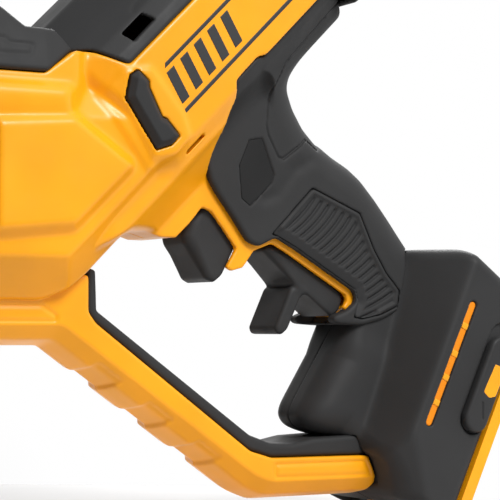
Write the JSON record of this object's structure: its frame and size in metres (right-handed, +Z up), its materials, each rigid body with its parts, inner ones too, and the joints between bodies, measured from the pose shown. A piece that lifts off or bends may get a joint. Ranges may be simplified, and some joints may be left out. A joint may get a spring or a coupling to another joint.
{
  "type": "reciprocating saw",
  "caption": "Cordless D-handle reciprocating saw with a 45 degree motor barrel, rubber grip, battery foot, pivoting shoe, blade and working scotch yoke drive.",
  "frame": {"origin": "where the blade's line crosses the shoe's working face", "axes": "-X along the blade to its tip, +Z up towards the motor barrel, +Y to the tool's right"},
  "size_m": [0.5146, 0.0805, 0.2675],
  "materials": {
    "yellow": "satin glass-filled nylon, warm yellow",
    "black_plastic": "fine grained matt black plastic",
    "rubber": "soft matt black overmould",
    "boot_rubber": "matt black rubber",
    "steel": "machined steel",
    "dark_steel": "black oxide steel",
    "plated_steel": "zinc plated sheet steel",
    "blade_steel": "ground blade steel",
    "aluminium": "die cast aluminium",
    "bronze": "sintered bronze",
    "copper": "enamelled copper wire",
    "laminations": "stacked laminations",
    "circuit_board": "potted board",
    "red_plastic": "switch housing",
    "lens": "clear moulded lens"
  },
  "bodies": {
    "tool": {"housing_left": "yellow", "housing_right": "yellow", "top_cover": "black_plastic", "end_cap": "black_plastic", "front_shroud": "rubber", "nose_boot": "boot_rubber", "grip_left": "rubber", "grip_right": "rubber", "grip_pads": "rubber", "guard_liner": "rubber", "side_bumpers": "rubber", "foot_left": "black_plastic", "foot_right": "black_plastic", "foot_trim": "yellow", "foot_vents": "yellow", "hook_bracket": "black_plastic", "hook_pin": "steel", "housing_screws": "dark_steel", "trigger_spring": "steel", "switch_module": "red_plastic", "lever_pin": "steel", "lever_spring": "steel", "controller": "circuit_board", "heat_sink": "aluminium", "terminal_block": "black_plastic", "terminals": "copper", "gearcase_left": "aluminium", "gearcase_right": "aluminium", "gearcase_screws": "dark_steel", "nose_seal": "boot_rubber", "front_bush": "bronze", "rear_bush": "bronze", "crank_bearing": "steel", "front_bearing": "steel", "rear_bearing": "steel", "stator": "laminations", "windings": "copper", "work_light": "lens"},
    "hook": {"rafter_hook": "dark_steel"},
    "trigger": {"trigger": "black_plastic"},
    "lever": {"lock_lever": "black_plastic"},
    "selector": {"speed_selector": "black_plastic"},
    "plunger": {"plunger": "steel", "yoke": "steel", "yoke_pin": "steel", "clamp_body": "steel", "clamp_spring": "steel", "saw_blade": "blade_steel"},
    "crank": {"crank_gear": "steel", "crank_pin": "steel", "crank_roller": "bronze"},
    "rotor": {"bevel_pinion": "steel", "motor_shaft": "steel", "rotor": "laminations", "fan": "black_plastic"},
    "collar": {"clamp_collar": "dark_steel"},
    "shoe_post": {"shoe_post": "plated_steel", "shoe_pin": "steel"},
    "shoe": {"shoe_plate": "plated_steel"},
    "shoe_lever": {"shoe_lever": "black_plastic"}
  },
  "joints": [
    {"name": "crank_turn", "type": "hinge", "parent": "tool", "child": "crank", "pos_m": [0.185, 0, 0], "axis": [0, 1, 0], "range_deg": [-68.75, 68.75]},
    {"name": "plunger_slide", "type": "slide", "parent": "tool", "child": "plunger", "axis": [1, 0, 0], "range_m": [-0.0143, 0.0143]},
    {"name": "rotor_spin", "type": "hinge", "parent": "tool", "child": "rotor", "pos_m": [0.185, 0, 0], "axis": [0.7071, 0, 0.7071], "range_deg": [-343.75, 343.75]},
    {"name": "trigger_pull", "type": "slide", "parent": "tool", "child": "trigger", "axis": [0.766, 0, 0.6428], "range_m": [0, 0.007], "stiffness_N_per_m": 900, "springref_m": -0.003},
    {"name": "lever_squeeze", "type": "hinge", "parent": "tool", "child": "lever", "pos_m": [0.311, 0, -0.042], "axis": [0, 1, 0], "range_deg": [0, 10], "stiffness_Nm_per_rad": 0.8, "springref_deg": -8.59},
    {"name": "collar_turn", "type": "hinge", "parent": "plunger", "child": "collar", "pos_m": [0.043, 0, 0], "axis": [1, 0, 0], "range_deg": [0, 75], "stiffness_Nm_per_rad": 0.05, "springref_deg": -11.46},
    {"name": "shoe_reach", "type": "slide", "parent": "tool", "child": "shoe_post", "axis": [-1, 0, 0], "range_m": [0, 0.018]},
    {"name": "shoe_tilt", "type": "hinge", "parent": "shoe_post", "child": "shoe", "pos_m": [0.012, 0, -0.018], "axis": [0, 1, 0], "range_deg": [-20, 20]},
    {"name": "shoe_lever_turn", "type": "hinge", "parent": "tool", "child": "shoe_lever", "pos_m": [0.099, 0, -0.031], "axis": [0, 1, 0], "range_deg": [0, 70]},
    {"name": "selector_slide", "type": "slide", "parent": "tool", "child": "selector", "axis": [0.4226, 0, 0.9063], "range_m": [0, 0.005]},
    {"name": "hook_swing", "type": "hinge", "parent": "tool", "child": "hook", "pos_m": [0.149, 0, 0.066], "axis": [0, 1, 0], "range_deg": [0, 90]}
  ],
  "couplings": [
    {"joint": "plunger_slide", "follows": "crank_turn", "m_per_rad": 0.011917},
    {"joint": "rotor_spin", "follows": "crank_turn", "ratio": -5}
  ]
}
